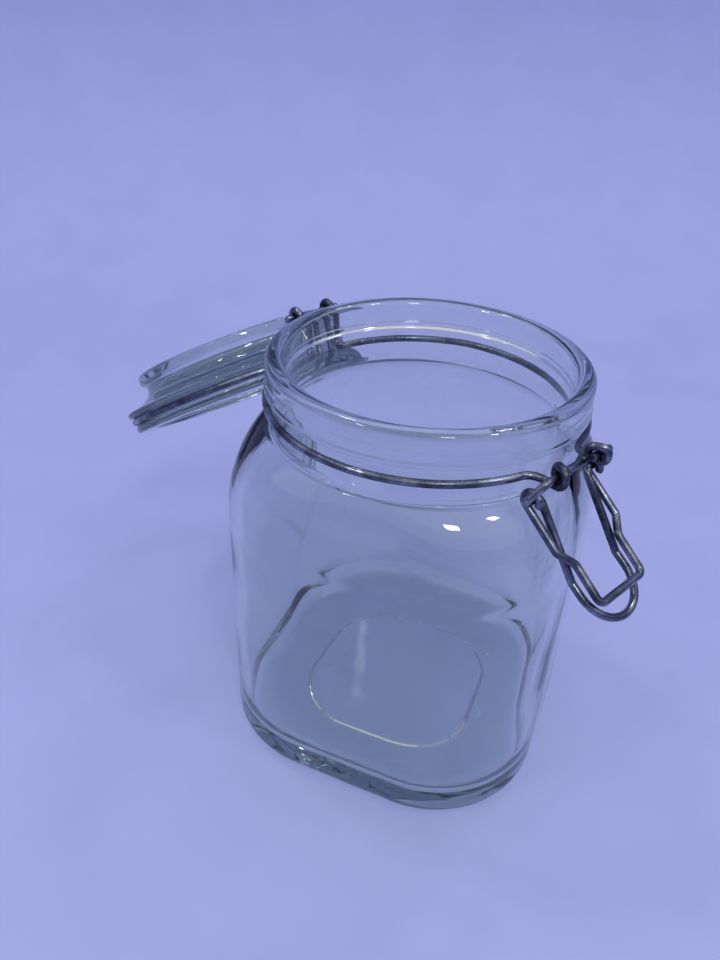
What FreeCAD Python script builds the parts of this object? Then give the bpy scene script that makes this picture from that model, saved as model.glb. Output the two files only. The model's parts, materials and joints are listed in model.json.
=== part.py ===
import FreeCAD, Part
import math
import os

import Sketcher
from FreeCAD import Placement, Rotation, Vector

# Wire-bail glass jar in millimetres: +Z up, standing on z = 0, clasp towards -Y, hinge towards +Y.
# The lid is drawn swung open and the clasp hanging, as the object was found.

os.makedirs("parts", exist_ok=True)
doc = FreeCAD.newDocument("lidded_jar")
sheet = doc.addObject("Spreadsheet::Sheet", "sizes")

driving = {
    # glass body
    "jar_height": 138.0,          # foot to top of the lip
    "wall_half": 55.3,            # half the width across the flats
    "wall_corner": 38.0,          # plan radius of the body's corners
    "shoulder_height": 28.5,      # from the straight wall to the neck
    "neck_height": 21.5,          # from the shoulder to the top of the lip
    "neck_flare": 0.8,            # spread of the neck where it meets the shoulder
    "neck_depth": 1.4,            # groove under the lip, which the wire collar turns in
    "neck_wall": 4.0,             # glass of the neck
    "rim_radius": 49.0,           # outside of the lip
    "rim_band": 10.0,             # height of the lip band
    "lip_round": 2.2,             # rounding of the lip
    "glass_wall": 4.0,            # side wall
    "base_thick": 8.0,            # glass under the contents
    "foot_round": 6.0,            # outer rounding of the foot
    "floor_round": 9.0,           # inner rounding of the floor
    "pushup_half": 31.0,          # recess under the foot
    "pushup_corner": 20.0,        # plan radius of the recess
    "pushup_depth": 2.5,          # depth of the recess
    "body_turn": 24.0,            # flats turned against the clasp, as found
    # glass lid
    "seal_gap": 2.5,              # room left for the rubber seal that is missing
    "flange_over": 0.6,           # rim of the lid past the lip
    "flange_thick": 4.2,          # thickness of that rim
    "plug_clear": 2.8,            # plug lip inside the mouth
    "plug_lip": 3.4,              # height of that lip
    "plug_wall": 7.4,             # border round the recess in the underside
    "seat_depth": 2.0,            # groove that the seal is stretched over
    "seat_height": 7.0,           # from the plug lip to the flange
    "hollow_depth": 3.6,          # depth of the recess in the underside
    "groove_depth": 3.2,          # groove for the lid's wire
    "groove_side": 0.35,          # room over and under the wire in that groove
    "lid_top_step": 1.4,          # disc above the groove, in from the flange
    "lid_top_height": 3.0,        # height of that disc
    "dish_border": 7.2,           # border round the shallow dish in the top
    "dish_depth": 1.4,            # depth of that dish
    "glass_round": 1.2,           # rounding of the lid's edges
    # steel wire
    "wire": 2.3,                  # wire diameter
    "wire_fit": 0.08,             # radial clearance round the glass and in the eyes
    "collar_drop": 14.4,          # wire collar below the top of the lip
    "clasp_bend": 4.5,            # bend from the collar into a clasp eye
    "hinge_bend": 2.0,            # bends from the rings to the hinge
    "wire_bend": 2.0,             # other bends, at the middle of the wire
    "eye_turn": 250.0,            # how far an open eye goes round its pin
    # hinge
    "hinge_drop": 4.5,            # hinge axis below the top of the lip
    "post_run": 0.6,              # straight run from the collar's bend to the hinge post
    "tail_half": 2.8,             # each tail of the lid's wire from the centre plane
    "tail_lean": 2.2,             # lean of the tails towards the lid
    "hinge_step": 4.0,            # from a tail to its hinge eye
    "hinge_pin_over": 4.2,        # hinge pin past the middle of its eye
    "lid_open": 214.0,            # opening angle, as found
    # clasp
    "clasp_stand": 6.5,           # lever pivot out from the lip
    "collar_eye": 9.9,            # each collar eye from the centre plane
    "eye_gap": 0.3,               # between the two uprights of a collar eye
    "lever_pin_over": 1.9,        # lever pin past the inner upright
    "pin_shoulder": 4.5,          # from a collar eye to the bend into the crank
    "crank": 8.0,                 # lever pivot to link pivot
    "crank_lean": 26.0,           # lean of the crank towards the jar
    "lever_half": 10.6,           # each lever arm from the centre plane
    "lever_arm": 25.0,            # straight part of the arm
    "lever_end": 14.7,            # kicked-out thumb end
    "lever_kick": 19.0,           # angle of that end
    "lever_tilt": 36.0,           # hang of the lever from straight down
    "link_side": 3.4,             # from a lever arm to its link eye
    "crank_side": 4.7,            # from a link eye to its crank
    "link_taper": 3.8,            # link eyes wider than the bar that holds the lid
    "link_upper": 15.0,           # from the eye to where the arms draw in
    "link_neck": 5.0,             # length over which they draw in
    "link_length": 32.1,          # from the eye to the bar
    "link_tilt": 51.7,            # hang of the link from straight down
}
for row, (alias, number) in enumerate(driving.items(), start=1):
    sheet.set("A%d" % row, alias)
    sheet.set("B%d" % row, str(number))
    sheet.setAlias("B%d" % row, alias)
doc.recompute()


def size(name):
    return float(sheet.get(name))


def worked_out(expression):
    return float(sheet.evalExpression(expression.replace("sizes.", "")))


# Sketches

def new_sketch(body, name, role, level=None):
    sketch = body.newObject("Sketcher::SketchObject", name)
    origin_plane = next(f for f in body.Origin.OriginFeatures if f.Role == role)
    sketch.AttachmentSupport = [(origin_plane, "")]
    sketch.MapMode = "FlatFace"
    if level:
        sketch.setExpression("AttachmentOffset.Base.z", level)
    return sketch


def hold(sketch, kind, geometry, point, expression):
    index = sketch.addConstraint(Sketcher.Constraint(kind, -1, 1, geometry, point, worked_out(expression)))
    sketch.setExpression("Constraints[%d]" % index, expression)


def rounded_square(body, name, half, corner, level=None):
    sketch = new_sketch(body, name, "XY_Plane", level)
    outer = worked_out(half)
    radius = worked_out(corner)
    inner = outer - radius
    turns = [Rotation(Vector(0, 0, 1), 90 * side) for side in range(4)]
    for side, turn in enumerate(turns):
        side_start = turn.multVec(Vector(outer, -inner, 0))
        side_end = turn.multVec(Vector(outer, inner, 0))
        sketch.addGeometry(Part.LineSegment(side_start, side_end), False)
        circle = Part.Circle(turn.multVec(Vector(inner, inner, 0)), Vector(0, 0, 1), radius)
        start = math.radians(90 * side)
        sketch.addGeometry(Part.ArcOfCircle(circle, start, start + math.pi / 2), False)
    for side in range(4):
        flat = 2 * side
        arc = flat + 1
        sketch.addConstraint(Sketcher.Constraint("Tangent", flat, 2, arc, 1))
        sketch.addConstraint(Sketcher.Constraint("Tangent", arc, 2, (flat + 2) % 8, 1))
        sketch.addConstraint(Sketcher.Constraint("Vertical" if side % 2 == 0 else "Horizontal", flat))
        if side:
            sketch.addConstraint(Sketcher.Constraint("Equal", 1, arc))
    index = sketch.addConstraint(Sketcher.Constraint("Radius", 1, radius))
    sketch.setExpression("Constraints[%d]" % index, corner)
    hold(sketch, "DistanceX", 0, 1, half)
    hold(sketch, "DistanceY", 2, 1, half)
    hold(sketch, "DistanceX", 4, 1, "-(%s)" % half)
    hold(sketch, "DistanceY", 6, 1, "-(%s)" % half)
    return sketch


def turned_profile(body, name, corners):
    sketch = new_sketch(body, name, "XZ_Plane")
    places = [Vector(worked_out(r), worked_out(z), 0) for r, z in corners]
    count = len(corners)
    for i in range(count):
        sketch.addGeometry(Part.LineSegment(places[i], places[(i + 1) % count]), False)
    for i in range(count):
        sketch.addConstraint(Sketcher.Constraint("Coincident", i, 2, (i + 1) % count, 1))
    for i, (r, z) in enumerate(corners):
        if r == "0":
            sketch.addConstraint(Sketcher.Constraint("PointOnObject", i, 1, -2))
        else:
            hold(sketch, "DistanceX", i, 1, r)
        hold(sketch, "DistanceY", i, 1, z)
    return sketch


def revolve(body, name, sketch):
    feature = body.newObject("PartDesign::Revolution", name)
    feature.Profile = sketch
    feature.ReferenceAxis = (sketch, ["V_Axis"])
    feature.Angle = 360.0
    doc.recompute()
    return feature


def pad(body, name, sketch, length):
    feature = body.newObject("PartDesign::Pad", name)
    feature.Profile = sketch
    feature.setExpression("Length", length)
    doc.recompute()
    return feature


def round_edges(body, name, base, wanted, radius):
    edges = ["Edge%d" % (i + 1) for i, e in enumerate(base.Shape.Edges) if wanted(e)]
    feature = body.newObject("PartDesign::Fillet", name)
    feature.Base = (base, edges)
    feature.setExpression("Radius", radius)
    doc.recompute()
    return feature


def at_level(edge, level):
    box = edge.BoundBox
    return abs(box.ZMin - level) < 0.01 and abs(box.ZMax - level) < 0.01


def ring_edge(places):
    def wanted(edge):
        if not hasattr(edge.Curve, "Radius"):
            return False
        centre = edge.Curve.Center
        return any(abs(edge.Curve.Radius - r) < 0.01 and abs(centre.z - z) < 0.01 for r, z in places)
    return wanted


# Glass body: straight rounded-square wall, shoulder lofted to the round neck, turned lip

shoulder_steps = [0, 22, 44, 62, 76]      # degrees round the shoulder's quarter ellipse
last_flat = 0.3                           # what is left of the flats where the shoulder meets the neck

band_bottom = "(sizes.jar_height - sizes.rim_band)"
neck_bottom = "(sizes.jar_height - sizes.neck_height)"
wall_top = "(sizes.jar_height - sizes.neck_height - sizes.shoulder_height)"
neck_radius = "(sizes.rim_radius - sizes.neck_depth)"
mouth_radius = "(sizes.rim_radius - sizes.neck_depth - sizes.neck_wall)"


def shoulder(body, name, half, corner, neck):
    last = math.radians(shoulder_steps[-1])
    sections = []
    for step in shoulder_steps:
        angle = math.radians(step)
        spread = (math.cos(angle) - math.cos(last)) / (1 - math.cos(last))
        rise = math.sin(angle) / math.sin(last)
        section_half = "%s + (%s - %s) * %.6f" % (neck, half, neck, spread)
        flat = "(%s - %s) * %.6f + %.6f" % (half, corner, spread, last_flat * (1 - spread))
        level = "%s + sizes.shoulder_height * %.6f" % (wall_top, rise)
        section_corner = "%s - (%s)" % (section_half, flat)
        sections.append(rounded_square(body, "%s_%d" % (name, step), section_half, section_corner, level))
    doc.recompute()
    loft = body.newObject("PartDesign::AdditiveLoft", name)
    loft.Profile = sections[0]
    loft.Sections = sections[1:]
    doc.recompute()
    return loft


outside = doc.addObject("PartDesign::Body", "jar_outside")
wall_plan = rounded_square(outside, "wall_plan", "sizes.wall_half", "sizes.wall_corner")
pad(outside, "wall", wall_plan, wall_top)
shoulder(outside, "shoulder", "sizes.wall_half", "sizes.wall_corner", neck_radius)
neck_start = neck_bottom + " - sizes.glass_wall"
neck_profile = turned_profile(outside, "neck_profile", [
    ("0", neck_start),
    (neck_radius, neck_start),
    (neck_radius + " + sizes.neck_flare", neck_bottom),
    (neck_radius, neck_bottom + " + 2 * sizes.neck_flare"),
    (neck_radius, band_bottom + " - sizes.neck_depth"),
    ("sizes.rim_radius", band_bottom),
    ("sizes.rim_radius", "sizes.jar_height"),
    ("0", "sizes.jar_height"),
])
neck = revolve(outside, "neck", neck_profile)
foot = round_edges(outside, "foot", neck, lambda e: at_level(e, 0), "sizes.foot_round")
pushup_plan = rounded_square(outside, "pushup_plan", "sizes.pushup_half", "sizes.pushup_corner")
pushup = outside.newObject("PartDesign::Pocket", "pushup")
pushup.Profile = pushup_plan
pushup.Reversed = True
pushup.setExpression("Length", "sizes.pushup_depth")
doc.recompute()
lip_edge = ring_edge([(size("rim_radius"), size("jar_height"))])
round_edges(outside, "lip", pushup, lip_edge, "sizes.lip_round")

inside = doc.addObject("PartDesign::Body", "jar_inside")
inner_half = "(sizes.wall_half - sizes.glass_wall)"
inner_corner = "(sizes.wall_corner - sizes.glass_wall)"
floor_plan = rounded_square(inside, "floor_plan", inner_half, inner_corner, "sizes.base_thick")
pad(inside, "inner_wall", floor_plan, wall_top + " - sizes.base_thick")
shoulder(inside, "inner_shoulder", inner_half, inner_corner, mouth_radius)
mouth_profile = turned_profile(inside, "mouth_profile", [
    ("0", neck_start),
    (mouth_radius, neck_start),
    (mouth_radius, "sizes.jar_height - sizes.lip_round"),
    (mouth_radius + " + sizes.lip_round / 2", "sizes.jar_height"),
    ("0", "sizes.jar_height"),
])
mouth = revolve(inside, "mouth", mouth_profile)
round_edges(inside, "floor", mouth, lambda e: at_level(e, size("base_thick")), "sizes.floor_round")

jar_body = doc.addObject("Part::Cut", "jar_body")
jar_body.Base = outside
jar_body.Tool = inside
jar_body.Placement = Placement(Vector(), Rotation(Vector(0, 0, 1), size("body_turn")))

# Bent wire: a half path of lines and arcs from the centre plane, swept and mirrored

wire_radius = size("wire") / 2
wire_bend = size("wire_bend")
eye_radius = size("wire") + size("wire_fit")          # middle of an eye's wire round a pin


def unit(vector):
    return vector / vector.Length


def line(start, end):
    return Part.LineSegment(start, end).toShape()


def bent_line(points, radius):
    edges = []
    start = points[0]
    for before, corner, after in zip(points, points[1:], points[2:]):
        back = unit(before - corner)
        ahead = unit(after - corner)
        half_angle = back.getAngle(ahead) / 2
        reach = radius / math.tan(half_angle)
        middle = corner + unit(back + ahead) * (radius / math.sin(half_angle) - radius)
        bend_start = corner + back * reach
        bend_end = corner + ahead * reach
        edges.append(line(start, bend_start))
        edges.append(Part.Arc(bend_start, middle, bend_end).toShape())
        start = bend_end
    edges.append(line(start, points[-1]))
    return edges


def eye_arc(centre, first, way, side):
    places = []
    for share in (0, 0.5, 1):
        angle = math.radians(first + way * size("eye_turn") * share)
        places.append(centre + Vector(side, eye_radius * math.cos(angle), eye_radius * math.sin(angle)))
    return Part.Arc(*places).toShape()


# plan bend from a ring about the Z axis out to a tail parallel to Y at x = side
def ring_bend(radius, bend, side, way, level):
    aside = side + bend
    along = math.sqrt((radius + bend) ** 2 - aside ** 2)
    centre = Vector(aside, way * along, level)
    inward = radius / (radius + bend)
    on_ring = Vector(aside * inward, way * along * inward, level)
    on_tail = Vector(side, way * along, level)
    middle = centre + unit((on_ring - centre) + (on_tail - centre)) * bend
    return on_ring, Part.Arc(on_ring, middle, on_tail).toShape(), on_tail


def swept_wire(label, edges, placement=None):
    path = Part.Wire(edges)
    first = edges[0]
    start = first.valueAt(first.FirstParameter)
    heading = first.tangentAt(first.FirstParameter)
    section = Part.Wire(Part.makeCircle(wire_radius, start, heading))
    half = path.makePipeShell([section], True, False)
    whole = half.fuse(half.mirror(Vector(), Vector(1, 0, 0))).removeSplitter()
    feature = doc.addObject("Part::Feature", label)
    feature.Shape = whole
    if placement:
        feature.Placement = placement
    return feature


# Places that the pieces share: hinge axis, lever pivot and link pin

collar_level = size("jar_height") - size("collar_drop")
collar_radius = worked_out(neck_radius) + size("wire_fit") + wire_radius
collar_eye = size("collar_eye")
hinge_eye = size("tail_half") + size("hinge_step")
hinge_bend = size("hinge_bend")
front_ring, front_bend, front_tail = ring_bend(collar_radius, size("clasp_bend"), collar_eye, -1, collar_level)
rear_ring, rear_bend, rear_tail = ring_bend(collar_radius, hinge_bend, hinge_eye, 1, collar_level)

post_y = rear_tail.y + hinge_bend + size("post_run")
hinge = Vector(0, post_y + eye_radius, size("jar_height") - size("hinge_drop"))
swung_open = Placement(Vector(), Rotation(Vector(1, 0, 0), -size("lid_open")), hinge)

pivot = Vector(0, -size("rim_radius") - size("clasp_stand"), collar_level + eye_radius)
crank_lean = math.radians(size("crank_lean"))
link_pin = pivot + Vector(0, math.sin(crank_lean), -math.cos(crank_lean)) * size("crank")

# Glass lid, drawn closed and then swung open about the hinge

flange_radius = "(sizes.rim_radius + sizes.flange_over)"
groove_radius = "(%s - sizes.groove_depth)" % flange_radius
disc_radius = "(%s - sizes.lid_top_step)" % flange_radius
dish_radius = "(%s - sizes.dish_border)" % disc_radius
plug_radius = "(%s - sizes.plug_clear)" % mouth_radius
seat_radius = "(%s - sizes.seat_depth)" % plug_radius
hollow_radius = "(%s - sizes.plug_wall)" % plug_radius

flange_level = "(sizes.jar_height + sizes.seal_gap)"
seat_level = flange_level + " - sizes.seat_height"
plug_level = seat_level + " - sizes.plug_lip"
hollow_level = plug_level + " + sizes.hollow_depth"
groove_level = flange_level + " + sizes.flange_thick"
disc_level = groove_level + " + sizes.wire + 2 * sizes.groove_side"
top_level = disc_level + " + sizes.lid_top_height"
dish_level = top_level + " - sizes.dish_depth"

lid_glass = doc.addObject("PartDesign::Body", "lid_glass")
lid_profile = turned_profile(lid_glass, "lid_profile", [
    ("0", hollow_level),
    (hollow_radius + " - sizes.hollow_depth / 2", hollow_level),
    (hollow_radius, plug_level),
    (plug_radius, plug_level),
    (plug_radius, seat_level),
    (seat_radius, seat_level + " + sizes.glass_round"),
    (seat_radius, flange_level),
    (flange_radius, flange_level),
    (flange_radius, groove_level),
    (groove_radius, groove_level),
    (groove_radius, disc_level),
    (disc_radius, disc_level),
    (disc_radius, top_level),
    (dish_radius, top_level),
    (dish_radius + " - sizes.dish_depth", dish_level),
    ("0", dish_level),
])
lid_turned = revolve(lid_glass, "lid_turned", lid_profile)
lid_edges = [(flange_radius, flange_level), (flange_radius, groove_level), (plug_radius, plug_level),
             (disc_radius, disc_level), (disc_radius, top_level)]
lid_rings = [(worked_out(r), worked_out(level)) for r, level in lid_edges]
round_edges(lid_glass, "lid_rounds", lid_turned, ring_edge(lid_rings), "sizes.glass_round")
lid_glass.Placement = swung_open

# Collar: crossbar, clasp eye, half ring, hinge post and hinge eye

upright = collar_eye - size("wire") - size("eye_gap")
eye_in = pivot.y + eye_radius
eye_out = pivot.y - eye_radius
eye_top = pivot.z + eye_radius
collar_path = bent_line([
    Vector(0, eye_in, collar_level),
    Vector(upright, eye_in, collar_level),
    Vector(upright, eye_in, eye_top),
    Vector(collar_eye, eye_out, eye_top),
    Vector(collar_eye, eye_out, collar_level),
    front_tail,
], wire_bend)
collar_path += [front_bend]
collar_path += [Part.Arc(front_ring, Vector(collar_radius, 0, collar_level), rear_ring).toShape()]
collar_path += [rear_bend]
collar_path += bent_line([
    rear_tail,
    Vector(hinge_eye, post_y, collar_level),
    Vector(hinge_eye, post_y, hinge.z),
], hinge_bend)
collar_path += [eye_arc(hinge, 180, -1, hinge_eye)]
neck_ring = swept_wire("neck_ring", collar_path)

# Lid wire: ring in the lid's groove, two tails down to the hinge, pins out through the eyes

lid_wire_level = worked_out(groove_level) + size("groove_side") + wire_radius
lid_wire_radius = worked_out(groove_radius) + size("wire_fit") + wire_radius
tail = size("tail_half")
lid_ring_end, lid_bend, lid_tail = ring_bend(lid_wire_radius, hinge_bend, tail, 1, lid_wire_level)
lid_ring_front = Vector(0, -lid_wire_radius, lid_wire_level)
lid_ring_side = Vector(lid_wire_radius, 0, lid_wire_level)
lid_path = [Part.Arc(lid_ring_front, lid_ring_side, lid_ring_end).toShape()]
lid_path += [lid_bend]
lid_path += bent_line([
    lid_tail,
    Vector(tail, hinge.y - size("tail_lean"), lid_wire_level),
    Vector(tail, hinge.y, hinge.z),
    Vector(hinge_eye + size("hinge_pin_over"), hinge.y, hinge.z),
], wire_bend)
lid_ring = swept_wire("lid_ring", lid_path, swung_open)


# Lever: round thumb end, two arms, link pins, slanting cranks and pivot pins

def hang(degrees):
    angle = math.radians(degrees)
    return Vector(0, -math.sin(angle), -math.cos(angle)), Vector(0, -math.cos(angle), math.sin(angle))


def across(side):
    return Vector(side, 0, 0)


lever_half = size("lever_half")
link_eye = lever_half + size("link_side")
crank_half = link_eye + size("crank_side")
arm_down, arm_out = hang(size("lever_tilt"))
end_down, end_out = hang(size("lever_tilt") + size("lever_kick"))
knee = link_pin + arm_down * size("lever_arm")
tip = knee + end_down * size("lever_end")
round_start = tip - end_down * lever_half
round_middle = round_start + (across(1) + end_down) * (lever_half * math.sqrt(0.5))
lever_path = [Part.Arc(tip, round_middle, round_start + across(lever_half)).toShape()]
lever_path += bent_line([
    round_start + across(lever_half),
    knee + across(lever_half),
    link_pin + across(lever_half),
    link_pin + across(crank_half),
    pivot + across(collar_eye + size("pin_shoulder")),
    pivot + across(upright - size("lever_pin_over")),
], wire_bend)
clasp_lever = swept_wire("clasp_lever", lever_path)

# Link: straight bar over the lid, arms that draw in, open eyes round the lever's link pins

link_down, link_out = hang(size("link_tilt"))
bar_half = link_eye - size("link_taper")
shank = link_pin - link_out * eye_radius
bar = shank + link_down * size("link_length")
link_path = bent_line([
    bar,
    bar + across(bar_half),
    shank + link_down * (size("link_upper") + size("link_neck")) + across(bar_half),
    shank + link_down * size("link_upper") + across(link_eye),
    shank + across(link_eye),
], wire_bend)
link_path += [eye_arc(link_pin, -size("link_tilt"), 1, link_eye)]
clasp_link = swept_wire("clasp_link", link_path)

# Check and write

doc.recompute()
parts = [jar_body, lid_glass, neck_ring, lid_ring, clasp_lever, clasp_link]
for thing in doc.Objects:
    faults = {"Invalid", "Error"} & set(thing.State)
    if faults:
        raise RuntimeError("%s: %s" % (thing.Label, faults))
for piece in parts:
    if piece.Shape.isNull() or not piece.Shape.isValid() or len(piece.Shape.Solids) != 1:
        raise RuntimeError("%s is not one sound solid" % piece.Label)
    piece.Shape.exportStep("parts/%s.step" % piece.Label)
    print("%s %.0f mm3 %s" % (piece.Label, piece.Shape.Volume, piece.Shape.BoundBox))
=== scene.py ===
import json
import math

import bmesh
import bpy
from mathutils import Matrix, Vector, noise


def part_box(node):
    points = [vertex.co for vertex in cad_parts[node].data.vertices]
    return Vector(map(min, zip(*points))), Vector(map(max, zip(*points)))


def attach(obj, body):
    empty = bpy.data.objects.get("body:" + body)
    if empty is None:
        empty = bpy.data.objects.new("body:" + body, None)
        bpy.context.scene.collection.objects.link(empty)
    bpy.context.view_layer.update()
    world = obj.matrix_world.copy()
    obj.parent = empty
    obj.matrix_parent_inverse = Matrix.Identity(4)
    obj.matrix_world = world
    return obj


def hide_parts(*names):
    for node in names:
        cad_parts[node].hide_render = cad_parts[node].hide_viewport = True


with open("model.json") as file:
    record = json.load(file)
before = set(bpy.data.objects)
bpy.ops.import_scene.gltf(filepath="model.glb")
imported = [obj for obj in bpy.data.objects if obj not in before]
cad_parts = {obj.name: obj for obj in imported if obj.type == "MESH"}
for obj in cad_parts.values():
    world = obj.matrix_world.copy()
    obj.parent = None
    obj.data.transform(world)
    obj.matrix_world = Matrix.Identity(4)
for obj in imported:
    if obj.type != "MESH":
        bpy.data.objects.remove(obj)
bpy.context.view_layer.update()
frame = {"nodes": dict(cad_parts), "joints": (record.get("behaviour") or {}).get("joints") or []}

# Wire-bail glass jar, lid swung open and clasp hanging. Metres, +Z up, clasp towards -Y, hinge towards +Y.
# Lengths in the dictionaries are in millimetres.

scene = bpy.context.scene
mm = 0.001
joints = {joint["name"]: joint for joint in frame["joints"]}


def toLinear(code):
    channels = [int(code[i:i + 2], 16) / 255 for i in (0, 2, 4)]
    linear = [c / 12.92 if c <= 0.04045 else ((c + 0.055) / 1.055) ** 2.4 for c in channels]
    return (*linear, 1.0)


def perSize(millimetres):               # texture scale for a pattern of that size
    return 1 / (millimetres * mm)


def spaced(start, end, count):          # evenly spaced values after start, up to end
    return [start + (end - start) * k / count for k in range(1, count + 1)]


# one node with its settings and its links; a colour ramp takes its stops as (place, hex)
def addNode(tree, kind, settings=None, links=None):
    node = tree.nodes.new(kind)
    for key, value in (settings or {}).items():
        if key == "stops":
            ramp = node.color_ramp
            while len(ramp.elements) < len(value):
                ramp.elements.new(1.0)
            for element, (place, code) in zip(ramp.elements, value):
                element.position = place
                element.color = toLinear(code)
        elif isinstance(key, int) or key in node.inputs:
            node.inputs[key].default_value = value
        else:
            setattr(node, key, value)
    for key, source in (links or {}).items():
        tree.links.new(source, node.inputs[key])
    return node


def newMaterial(name):
    material = bpy.data.materials.new(name)
    material.use_nodes = True
    material.node_tree.nodes.clear()
    return material, material.node_tree


# Materials

glassLook = {
    "tint": "F4F8F7",                   # surface colour, nearly white
    "depth": "89A8AA",                  # what a long way through the glass leaves
    "depthDensity": 17.0,               # per metre
    "ior": 1.52,                        # soda-lime glass
    "shade": "EEF2F1",                  # what each face lets through of the light that falls on the floor
    "waveSize": 26.0,                   # slow waves left by the mould
    "waveDepth": 0.05,
    "peelSize": 5.0,                    # fine unevenness of fire-polished glass
    "peelDepth": 0.006,
    "hazeSize": 34.0,                   # patches of wiping marks
    "hazeLevels": (0.52, 0.8),          # noise levels where a patch starts and where it is densest
    "hazeRoughness": 0.05,
}


# pressed soda-lime glass, fire-polished: clear on the flat, blue-green where it is seen edge-on,
# with slow waves that bend the reflections and a faint haze of wiping marks
def pressedSodaLimeGlass(name):
    look = glassLook
    material, tree = newMaterial(name)
    place = addNode(tree, "ShaderNodeTexCoord").outputs["Object"]
    wave = addNode(tree, "ShaderNodeTexNoise", {"Scale": perSize(look["waveSize"]), "Detail": 1.0},
                   {"Vector": place})
    peel = addNode(tree, "ShaderNodeTexNoise", {"Scale": perSize(look["peelSize"]), "Detail": 2.0},
                   {"Vector": place})
    haze = addNode(tree, "ShaderNodeTexNoise", {"Scale": perSize(look["hazeSize"]), "Detail": 6.0},
                   {"Vector": place})
    waveBump = addNode(tree, "ShaderNodeBump", {"Strength": 1.0, "Distance": look["waveDepth"] * mm},
                       {"Height": wave.outputs["Fac"]})
    peelBump = addNode(tree, "ShaderNodeBump", {"Strength": 1.0, "Distance": look["peelDepth"] * mm},
                       {"Height": peel.outputs["Fac"], "Normal": waveBump.outputs["Normal"]})
    hazeStart, hazeFull = look["hazeLevels"]
    roughness = addNode(tree, "ShaderNodeMapRange",
                        {"From Min": hazeStart, "From Max": hazeFull, "To Min": 0.0,
                         "To Max": look["hazeRoughness"]},
                        {"Value": haze.outputs["Fac"]})
    glass = addNode(tree, "ShaderNodeBsdfPrincipled",
                    {"Base Color": toLinear(look["tint"]), "Transmission Weight": 1.0, "IOR": look["ior"]},
                    {"Roughness": roughness.outputs["Result"], "Normal": peelBump.outputs["Normal"]})
    depth = addNode(tree, "ShaderNodeVolumeAbsorption",
                    {"Color": toLinear(look["depth"]), "Density": look["depthDensity"]})
    # light on its way to the floor goes straight through, or the foot would stand in a black shadow
    ray = addNode(tree, "ShaderNodeLightPath")
    passing = addNode(tree, "ShaderNodeMath", {"operation": "MAXIMUM"},
                      {0: ray.outputs["Is Shadow Ray"], 1: ray.outputs["Is Diffuse Ray"]})
    clear = addNode(tree, "ShaderNodeBsdfTransparent", {"Color": toLinear(look["shade"])})
    surface = addNode(tree, "ShaderNodeMixShader", None,
                      {0: passing.outputs["Value"], 1: glass.outputs["BSDF"], 2: clear.outputs["BSDF"]})
    addNode(tree, "ShaderNodeOutputMaterial", None,
            {"Surface": surface.outputs["Shader"], "Volume": depth.outputs["Volume"]})
    return material


steelLook = {
    "bare": "9CA2B2",                   # rubbed steel
    "dull": "626878",                   # dulled steel
    "tarnish": "3A3F4C",                # blue-black tarnish
    "patchSize": 7.0,
    "patchLevels": (0.32, 0.5, 0.68),   # noise levels of tarnish, dulled and rubbed steel
    "roughLevels": (0.3, 0.7),          # noise levels of the two roughnesses
    "tarnishRoughness": 0.34,
    "bareRoughness": 0.15,
    "speck": "84878E",
    "speckSize": 1.1,
    "speckLevels": (0.30, 0.42),        # noise levels of a speck and of the steel beside it
    "speckStrength": 0.6,
    "drawnSize": 0.35,                  # marks of the drawing die, coarser than real so that they show
    "drawnDepth": 0.012,
}


# drawn mild-steel wire, dulled in use: dark bluish grey with blacker patches, and bright narrow
# highlights where it has been rubbed
def drawnSteelWire(name):
    look = steelLook
    material, tree = newMaterial(name)
    place = addNode(tree, "ShaderNodeTexCoord").outputs["Object"]
    patch = addNode(tree, "ShaderNodeTexNoise",
                    {"Scale": perSize(look["patchSize"]), "Detail": 5.0, "Roughness": 0.62},
                    {"Vector": place})
    speck = addNode(tree, "ShaderNodeTexNoise", {"Scale": perSize(look["speckSize"]), "Detail": 3.0},
                    {"Vector": place})
    drawn = addNode(tree, "ShaderNodeTexNoise", {"Scale": perSize(look["drawnSize"]), "Detail": 2.0},
                    {"Vector": place})
    shades = [look["tarnish"], look["dull"], look["bare"]]
    colour = addNode(tree, "ShaderNodeValToRGB", {"stops": list(zip(look["patchLevels"], shades))},
                     {"Fac": patch.outputs["Fac"]})
    specked = addNode(tree, "ShaderNodeValToRGB",
                      {"stops": list(zip(look["speckLevels"], [look["speck"], "FFFFFF"]))},
                      {"Fac": speck.outputs["Fac"]})
    surface = addNode(tree, "ShaderNodeMix",
                      {"data_type": "RGBA", "blend_type": "MULTIPLY", "Factor": look["speckStrength"]},
                      {6: colour.outputs["Color"], 7: specked.outputs["Color"]})    # its two colour sockets
    roughFrom, roughTo = look["roughLevels"]
    roughness = addNode(tree, "ShaderNodeMapRange",
                        {"From Min": roughFrom, "From Max": roughTo,
                         "To Min": look["tarnishRoughness"], "To Max": look["bareRoughness"]},
                        {"Value": patch.outputs["Fac"]})
    bump = addNode(tree, "ShaderNodeBump", {"Strength": 1.0, "Distance": look["drawnDepth"] * mm},
                   {"Height": drawn.outputs["Fac"]})
    steel = addNode(tree, "ShaderNodeBsdfPrincipled", {"Metallic": 1.0},
                    {"Base Color": surface.outputs[2], "Roughness": roughness.outputs["Result"],
                     "Normal": bump.outputs["Normal"]})
    addNode(tree, "ShaderNodeOutputMaterial", None, {"Surface": steel.outputs["BSDF"]})
    return material


boardLook = {
    "colour": "A8AEE0",
    "mottle": "A5ABDC",
    "mottleSize": 45.0,
    "mottleLevels": (0.35, 0.65),       # noise levels of the mottle and of the plain colour
    "roughness": 0.6,
    "specular": 0.2,
}


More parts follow.
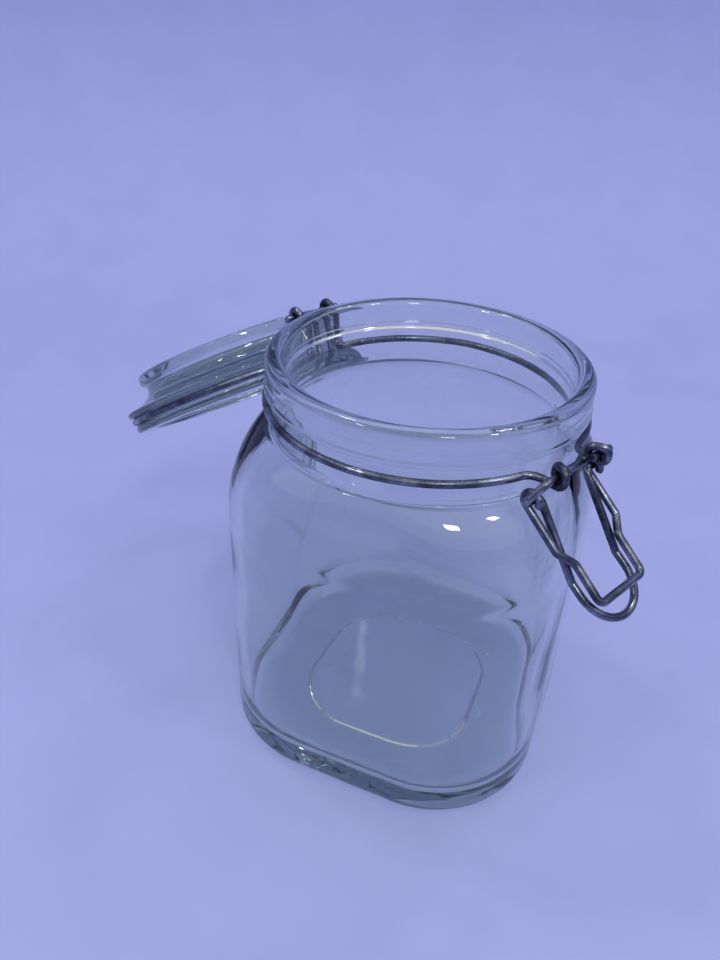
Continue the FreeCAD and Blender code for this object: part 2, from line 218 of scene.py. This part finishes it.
# matt painted board: even, with a barely seen mottle
def paintedBoard(name):
    look = boardLook
    material, tree = newMaterial(name)
    place = addNode(tree, "ShaderNodeTexCoord").outputs["Object"]
    mottle = addNode(tree, "ShaderNodeTexNoise", {"Scale": perSize(look["mottleSize"]), "Detail": 4.0},
                     {"Vector": place})
    shades = [look["mottle"], look["colour"]]
    colour = addNode(tree, "ShaderNodeValToRGB", {"stops": list(zip(look["mottleLevels"], shades))},
                     {"Fac": mottle.outputs["Fac"]})
    board = addNode(tree, "ShaderNodeBsdfPrincipled",
                    {"Roughness": look["roughness"], "Specular IOR Level": look["specular"]},
                    {"Base Color": colour.outputs["Color"]})
    addNode(tree, "ShaderNodeOutputMaterial", None, {"Surface": board.outputs["BSDF"]})
    return material


jarGlass = pressedSodaLimeGlass("pressed_soda_lime_glass")
wireSteel = drawnSteelWire("drawn_steel_wire")
print("materials made")


# Meshes made of rings about the axis

# a path through corners (across, level, rounding), with an arc at each rounded corner
def roundedPath(corners, steps=6):
    path = []
    for i, (across, level, rounding) in enumerate(corners):
        corner = Vector((across, level))
        if rounding <= 0 or i in (0, len(corners) - 1):
            path.append(corner)
            continue
        back = (Vector(corners[i - 1][:2]) - corner).normalized()
        ahead = (Vector(corners[i + 1][:2]) - corner).normalized()
        half = back.angle(ahead) / 2
        start = corner + back * (rounding / math.tan(half))
        centre = corner + (back + ahead).normalized() * (rounding / math.sin(half))
        spread = start - centre
        turn = (math.pi - 2 * half) * (1 if back.x * ahead.y - back.y * ahead.x < 0 else -1)
        for k in range(steps + 1):
            angle = turn * k / steps
            swung = Vector((spread.x * math.cos(angle) - spread.y * math.sin(angle),
                            spread.x * math.sin(angle) + spread.y * math.cos(angle)))
            path.append(centre + swung)
    return path


# distance from the axis to the outline of a square with rounded corners
def planRadius(angle, half, corner):
    fold = abs((angle + math.pi / 4) % (math.pi / 2) - math.pi / 4)
    flat = half - corner
    if half * math.tan(fold) <= flat:
        return half / math.cos(fold)
    reach = flat * (math.cos(fold) + math.sin(fold))
    return reach + math.sqrt(max(reach * reach - 2 * flat * flat + corner * corner, 0))


# points of one ring (half width, corner, level, unevenness)
def ringPoints(ring, around):
    half, corner, level, uneven = ring
    points = []
    for k in range(around):
        angle = 2 * math.pi * k / around
        radius = planRadius(angle, half, corner)
        spot = Vector((radius * math.cos(angle), radius * math.sin(angle), level))
        if uneven:
            radius += uneven * noise.noise(spot / glassLook["waveSize"])
            spot = Vector((radius * math.cos(angle), radius * math.sin(angle), level))
        points.append(spot)
    return points


# closed skin through rings, from one pole to the other
def skinRings(name, rings, around, turn):
    points = [Vector((0, 0, rings[0][2]))]
    for ring in rings[1:-1]:
        points += ringPoints(ring, around)
    points.append(Vector((0, 0, rings[-1][2])))
    last = len(points) - 1
    faces = []
    for k in range(around):
        after = (k + 1) % around
        faces.append((0, 1 + after, 1 + k))
        faces.append((last, last - around + k, last - around + after))
        for row in range(len(rings) - 3):
            low = 1 + row * around
            high = low + around
            faces.append((low + k, low + after, high + after, high + k))
    mesh = bpy.data.meshes.new(name)
    mesh.from_pydata([point * mm for point in points], [], faces)
    mesh.transform(Matrix.Rotation(math.radians(turn), 4, "Z"))
    skin = bmesh.new()
    skin.from_mesh(mesh)
    bmesh.ops.recalc_face_normals(skin, faces=skin.faces)
    skin.to_mesh(mesh)
    skin.free()
    mesh.polygons.foreach_set("use_smooth", [True] * len(mesh.polygons))
    piece = bpy.data.objects.new(name, mesh)
    scene.collection.objects.link(piece)
    return piece


def dressGlass(piece, body, node):
    piece.data.materials.append(jarGlass)
    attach(piece, body)
    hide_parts(node)


# Glass body

jar = {
    "height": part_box("jar_body")[1].z / mm,
    "turn": 24.0,                       # degrees, flats against the clasp, as found
    "around": 320,                      # points in a ring
    "wallHalf": 55.3,
    "wallCorner": 38.0,
    "wall": 4.0,
    "wallRings": 22,
    "shoulderHeight": 28.5,
    "shoulderSweep": 76.0,              # degrees of the shoulder's quarter ellipse
    "shoulderRings": 22,
    "lastFlat": 0.3,                    # flat that is left where the shoulder meets the neck
    "neckHeight": 21.5,
    "neckFlare": 0.8,                   # small step at the foot of the neck
    "neckStart": 0.6,                   # start of the neck's outline, under that step
    "neckRound": 0.8,
    "neckDepth": 1.4,                   # neck behind the lip band
    "neckWall": 4.0,
    "rimRadius": 49.0,
    "rimBand": 10.0,
    "bead": 0.4,                        # slight swelling along the foot of the lip band
    "beadHeight": 1.2,
    "beadRound": 0.45,
    "beadFade": 0.5,                    # height in which it runs out
    "beadFadeRound": 0.4,
    "smallRound": 0.5,
    "lipRound": 2.2,
    "baseThick": 6.4,                   # a little thinner than the solid's, as it looks through the glass
    "footRound": 6.0,
    "footArc": 10,                      # rings in that rounding
    "footRings": 6,
    "floorRound": 9.0,
    "floorArc": 12,
    "floorRings": 14,
    "innerWallRings": 20,
    "pushupHalf": 31.0,                 # recess under the foot
    "pushupCorner": 22.0,
    "pushupDepth": 2.5,
    "pushupDraft": 0.7,                 # slope of its side
    "pushupRound": 1.1,
    "pushupRings": 8,
    "pushupEdge": 2.0,                  # from its last flat ring to its side
    "innermost": 2.0,                   # radius of the floor's last ring
    "outerUneven": 0.10,                # wall outside
    "innerUneven": 0.26,                # wall inside, where no mould touched it
    "floorUneven": 0.30,                # floor inside
    "floorWave": 5.5,                   # size of its waves
    "floorFade": 5,                     # rings in which they start
}
neckBottom = jar["height"] - jar["neckHeight"]
wallTop = neckBottom - jar["shoulderHeight"]
neckRadius = jar["rimRadius"] - jar["neckDepth"]
mouthRadius = neckRadius - jar["neckWall"]
outerFlat = jar["wallHalf"] - jar["wallCorner"]
innerHalf = jar["wallHalf"] - jar["wall"]
innerCorner = jar["wallCorner"] - jar["wall"]


# from the rounded square of the wall to the round neck
def shoulderRings(half, corner, neck, uneven):
    last = math.radians(jar["shoulderSweep"])
    rings = []
    for angle in spaced(0, last, jar["shoulderRings"]):
        spread = (math.cos(angle) - math.cos(last)) / (1 - math.cos(last))
        across = neck + (half - neck) * spread
        flat = (half - corner) * spread + jar["lastFlat"] * (1 - spread)
        level = wallTop + jar["shoulderHeight"] * math.sin(angle) / math.sin(last)
        rings.append((across, across - flat, level, uneven * spread))
    return rings


# recess under the foot and the flat ring round it
def undersideRings():
    depth = jar["pushupDepth"]
    top = jar["pushupHalf"] - jar["pushupDraft"]
    inset = jar["pushupHalf"] - jar["pushupCorner"]
    footEnd = jar["wallHalf"] - jar["footRound"]
    side = [(0, depth, 0), (top, depth, jar["pushupRound"]),
            (jar["pushupHalf"], 0, jar["pushupRound"]), (footEnd, 0, 0)]
    rings = [(0, 0, depth, 0)]
    for across in spaced(0, top - jar["pushupEdge"], jar["pushupRings"]):
        rings.append((across, across * jar["pushupCorner"] / jar["pushupHalf"], depth, 0))
    for across, level in roundedPath(side)[1:-1]:
        rings.append((across, across - inset, level, 0))
    footStart = rings[-1][0]
    for across in spaced(footStart, footEnd, jar["footRings"]):
        share = (across - footStart) / (footEnd - footStart)
        rings.append((across, across - inset - (outerFlat - inset) * share, 0, 0))
    return rings


# foot's rounding, wall and shoulder
def outsideRings():
    rings = []
    for angle in spaced(0, math.pi / 2, jar["footArc"]):
        across = jar["wallHalf"] - jar["footRound"] * (1 - math.sin(angle))
        rings.append((across, across - outerFlat, jar["footRound"] * (1 - math.cos(angle)), 0))
    for level in spaced(jar["footRound"], wallTop, jar["wallRings"]):
        uneven = jar["outerUneven"] * min(1, (level - jar["footRound"]) / jar["floorRound"])
        rings.append((jar["wallHalf"] - uneven, jar["wallCorner"], level, uneven))
    shoulder = shoulderRings(jar["wallHalf"], jar["wallCorner"], neckRadius, jar["outerUneven"])
    return rings + shoulder[:-1]


# neck, lip band with its bead, lip and mouth
def neckRings():
    bandBottom = jar["height"] - jar["rimBand"]
    beadTop = bandBottom + jar["beadHeight"]
    beadRadius = jar["rimRadius"] + jar["bead"]
    outline = [
        (neckRadius, neckBottom - jar["neckStart"], 0),
        (neckRadius + jar["neckFlare"], neckBottom, jar["smallRound"]),
        (neckRadius, neckBottom + 2 * jar["neckFlare"], jar["neckRound"]),
        (neckRadius, bandBottom - jar["neckDepth"] / 2, jar["smallRound"]),
        (beadRadius, bandBottom, jar["beadRound"]),
        (beadRadius, beadTop, jar["beadRound"]),
        (jar["rimRadius"], beadTop + jar["beadFade"], jar["beadFadeRound"]),
        (jar["rimRadius"], jar["height"], jar["lipRound"]),
        (mouthRadius, jar["height"], jar["lipRound"]),
        (mouthRadius, neckBottom, 0),
    ]
    return [(across, across, level, 0) for across, level in roundedPath(outline)]


# shoulder and wall inside, going down
def insideRings():
    shoulder = shoulderRings(innerHalf, innerCorner, mouthRadius, jar["innerUneven"])
    rings = shoulder[-2::-1]
    for level in spaced(wallTop, jar["baseThick"] + jar["floorRound"], jar["innerWallRings"]):
        rings.append((innerHalf, innerCorner, level, jar["innerUneven"]))
    return rings


# floor inside, from its rounding to the middle
def floorRings():
    floorFlat = innerHalf - innerCorner
    rings = []
    for angle in spaced(0, math.pi / 2, jar["floorArc"]):
        across = innerHalf - jar["floorRound"] * (1 - math.cos(angle))
        level = jar["baseThick"] + jar["floorRound"] * (1 - math.sin(angle))
        rings.append((across, across - floorFlat, level, jar["innerUneven"] * math.cos(angle)))
    edge = rings[-1][0]
    for across in spaced(edge, jar["innermost"], jar["floorRings"]):
        rings.append((across, across * (1 - floorFlat / edge), jar["baseThick"], 0))
    rings.append((0, 0, jar["baseThick"], 0))
    return rings


def makeJar():
    walls = undersideRings() + outsideRings() + neckRings() + insideRings()
    piece = skinRings("jar_glass", walls + floorRings(), jar["around"], jar["turn"])
    floorStart = 1 + (len(walls) - 1) * jar["around"]
    for k, spot in enumerate(list(piece.data.vertices)[floorStart:]):
        fade = min(1, k / jar["around"] / jar["floorFade"])
        spot.co.z += jar["floorUneven"] * mm * fade * noise.noise(spot.co / (jar["floorWave"] * mm))
    dressGlass(piece, "jar", "jar_body")
    print("jar:", len(piece.data.polygons), "faces")


makeJar()


# Glass lid, turned in its closed place and then swung open

lid = {
    "around": 320,                      # points in a ring
    "sealGap": 2.5,                     # room for the rubber seal
    "flangeRadius": 49.6,
    "flangeThick": 4.2,
    "plugRadius": 40.8,
    "plugLip": 3.4,
    "seatRadius": 38.8,
    "seatHeight": 7.0,
    "hollowRadius": 33.4,
    "hollowDepth": 3.6,
    "hollowEdge": 1.0,                  # from its last flat ring to its rounding
    "hollowRings": 9,
    "grooveRadius": 46.4,
    "grooveHeight": 3.0,
    "discRadius": 48.2,
    "discHeight": 3.0,
    "dishRadius": 41.0,
    "dishDepth": 1.4,
    "dishRings": 10,
    "innermost": 2.0,                   # radius of the dish's last ring
    "round": 1.2,
    "smallRound": 0.5,
    "coveDrop": 2.2,                    # hollow sweep from the seal seat out to the thin rim
    "coveReach": 5.0,
    "coveRise": 2.2,
    "coveRound": 5.0,
}


def lidRings():
    flange = jar["height"] + lid["sealGap"]
    seat = flange - lid["seatHeight"]
    plug = seat - lid["plugLip"]
    hollow = plug + lid["hollowDepth"]
    groove = flange + lid["flangeThick"]
    disc = groove + lid["grooveHeight"]
    top = disc + lid["discHeight"]
    dish = top - lid["dishDepth"]
    outline = [
        (0, hollow, 0),
        (lid["hollowRadius"] - lid["hollowDepth"] / 2, hollow, lid["round"]),
        (lid["hollowRadius"], plug, lid["round"]),
        (lid["plugRadius"], plug, lid["round"]),
        (lid["plugRadius"], seat, lid["smallRound"]),
        (lid["seatRadius"], seat + lid["round"], lid["round"]),
        (lid["seatRadius"], flange - lid["coveDrop"], lid["coveRound"]),
        (lid["flangeRadius"] - lid["coveReach"], flange + lid["coveRise"] / 2, lid["coveRound"]),
        (lid["flangeRadius"], flange + lid["coveRise"], lid["smallRound"]),
        (lid["flangeRadius"], groove, lid["round"]),
        (lid["grooveRadius"], groove, lid["smallRound"]),
        (lid["grooveRadius"], disc, lid["smallRound"]),
        (lid["discRadius"], disc, lid["round"]),
        (lid["discRadius"], top, lid["round"]),
        (lid["dishRadius"], top, lid["round"]),
        (lid["dishRadius"] - lid["dishDepth"], dish, lid["round"]),
        (0, dish, 0),
    ]
    path = roundedPath(outline)[1:-1]
    hollowEnd = path[0].x - lid["hollowEdge"]
    rings = [(0, 0, hollow, 0)]
    hollows = spaced(0, hollowEnd, lid["hollowRings"])
    rings += [(across, across, hollow, 0) for across in hollows]
    rings += [(across, across, level, 0) for across, level in path]
    dishes = spaced(path[-1].x, lid["innermost"], lid["dishRings"])
    rings += [(across, across, dish, 0) for across in dishes]
    rings.append((0, 0, dish, 0))
    return rings


def makeLid():
    piece = skinRings("lid_disc_glass", lidRings(), lid["around"], 0)
    swing = joints["lid_swing"]
    hinge = Matrix.Translation(Vector(swing["pos_m"]))
    opened = Matrix.Rotation(-math.radians(swing["range_deg"][1]), 4, Vector(swing["axis"]))
    piece.data.transform(hinge @ opened @ hinge.inverted())
    dressGlass(piece, "lid", "lid_glass")
    print("lid:", len(piece.data.polygons), "faces")


makeLid()

# Wires

for node in ("neck_ring", "lid_ring", "clasp_lever", "clasp_link"):
    wire = frame["nodes"][node]
    wire.data.materials.clear()
    wire.data.materials.append(wireSteel)
print("wires dressed")


# Camera, from the fit to the rim, neck wire, outline and foot

view = {
    "azimuth": -43.85,                  # degrees
    "elevation": 33.22,                 # degrees
    "roll": 2.71,                       # degrees
    "place": (-161.68, -140.97, 231.77),
    "focal": 773.66,                    # pixels
    "longSide": 960,                    # pixels
    "nearest": 10.0,                    # nothing nearer is drawn
}


def makeCamera():
    azimuth = math.radians(view["azimuth"])
    elevation = math.radians(view["elevation"])
    roll = math.radians(view["roll"])
    back = Vector((math.sin(azimuth) * math.cos(elevation), -math.cos(azimuth) * math.cos(elevation),
                   math.sin(elevation)))
    level = (-back).cross(Vector((0, 0, 1))).normalized()
    upright = level.cross(-back)
    right = level * math.cos(roll) + upright * math.sin(roll)
    up = upright * math.cos(roll) - level * math.sin(roll)
    camera = bpy.data.cameras.new("photo_view")
    camera.lens = view["focal"] * camera.sensor_width / view["longSide"]
    camera.clip_start = view["nearest"] * mm
    holder = bpy.data.objects.new("photo_view", camera)
    turned = Matrix((right, up, back)).transposed().to_4x4()
    holder.matrix_world = Matrix.Translation(Vector(view["place"]) * mm) @ turned
    scene.collection.objects.link(holder)
    scene.camera = holder


makeCamera()
print("camera placed")


# Stage: floor that curves up into a backdrop behind the object, and a far low wall all round

stage = {
    "front": 3000.0,                    # in front of the jar
    "half": 3000.0,                     # to either side
    "behind": 330.0,                    # to where the backdrop starts to rise
    "bend": 260.0,                      # radius of that rise
    "bendParts": 24,
    "height": 1300.0,
    "wallRadius": 2900.0,
    "wallHeight": 1150.0,
    "wallParts": 96,
    "drop": 0.4,                        # under the foot, so that no two faces lie in one plane
}


def sweepMesh():
    profile = [(-stage["front"], 0), (stage["behind"], 0)]
    for angle in spaced(0, math.pi / 2, stage["bendParts"]):
        along = stage["behind"] + stage["bend"] * math.sin(angle)
        profile.append((along, stage["bend"] * (1 - math.cos(angle))))
    profile.append((stage["behind"] + stage["bend"], stage["height"]))
    points = []
    for along, level in profile:
        points += [Vector((side * stage["half"], along, level)) * mm for side in (-1, 1)]
    faces = [(2 * k, 2 * k + 1, 2 * k + 3, 2 * k + 2) for k in range(len(profile) - 1)]
    mesh = bpy.data.meshes.new("studio_sweep")
    mesh.from_pydata(points, [], faces)
    mesh.transform(Matrix.Rotation(math.radians(view["azimuth"]), 4, "Z"))
    return mesh


def wallMesh():
    count = stage["wallParts"]
    radius = stage["wallRadius"]
    points = []
    for k in range(count):
        angle = 2 * math.pi * k / count
        foot = Vector((radius * math.cos(angle), radius * math.sin(angle), 0)) * mm
        points += [foot, foot + Vector((0, 0, stage["wallHeight"] * mm))]
    faces = []
    for k in range(count):
        here = 2 * k
        after = 2 * ((k + 1) % count)
        faces.append((here, after, after + 1, here + 1))
    mesh = bpy.data.meshes.new("studio_wall")
    mesh.from_pydata(points, [], faces)
    return mesh


def makeStage():
    board = paintedBoard("matt_painted_board")
    for mesh in (sweepMesh(), wallMesh()):
        mesh.transform(Matrix.Translation((0, 0, -stage["drop"] * mm)))
        mesh.polygons.foreach_set("use_smooth", [True] * len(mesh.polygons))
        mesh.materials.append(board)
        backdrop = bpy.data.objects.new(mesh.name, mesh)
        scene.collection.objects.link(backdrop)


makeStage()


# Light: a soft dome, darker low down, and five small lamps that give the glass and wire their highlights

light = {
    "low": "6C728A",
    "middle": "E2E3EE",
    "zenith": "FFFFFF",
    "levels": (0.0, 0.3, 0.8),          # heights of those colours on the dome, from 0 to 1
    "strength": 0.79,
    "lamps": [                          # name, place, size, watts
        ("window", (-500, -900, 1250), 210, 3.4),
        ("ceilingFront", (260, -820, 1350), 130, 2.0),
        ("ceilingSide", (760, 60, 1300), 130, 2.0),
        ("ceilingBack", (-160, 620, 1450), 150, 2.2),
        ("ceilingLeft", (-900, 180, 1250), 130, 1.8),
    ],
}


def makeDome():
    world = bpy.data.worlds.new("soft_dome")
    scene.world = world
    world.use_nodes = True
    tree = world.node_tree
    tree.nodes.clear()
    ray = addNode(tree, "ShaderNodeTexCoord").outputs["Generated"]
    level = addNode(tree, "ShaderNodeSeparateXYZ", None, {"Vector": ray}).outputs["Z"]
    shades = [light["low"], light["middle"], light["zenith"]]
    colour = addNode(tree, "ShaderNodeValToRGB", {"stops": list(zip(light["levels"], shades))},
                     {"Fac": level})
    dome = addNode(tree, "ShaderNodeBackground", {"Strength": light["strength"]},
                   {"Color": colour.outputs["Color"]})
    addNode(tree, "ShaderNodeOutputWorld", None, {"Surface": dome.outputs["Background"]})


def makeLamps():
    target = Vector((0, 0, jar["height"] * mm / 2))
    for name, place, across, watts in light["lamps"]:
        lamp = bpy.data.lights.new(name, "AREA")
        lamp.size = across * mm
        lamp.energy = watts
        holder = bpy.data.objects.new(name, lamp)
        holder.location = Vector(place) * mm
        holder.rotation_euler = (target - holder.location).to_track_quat("-Z", "Y").to_euler()
        scene.collection.objects.link(holder)


makeDome()
makeLamps()
scene.view_settings.view_transform = "Standard"
# the thick base and the lid pass light along inside them, which takes many reflections
scene.cycles.max_bounces = 28
scene.cycles.glossy_bounces = 18
scene.cycles.transmission_bounces = 28
print("stage and light set")
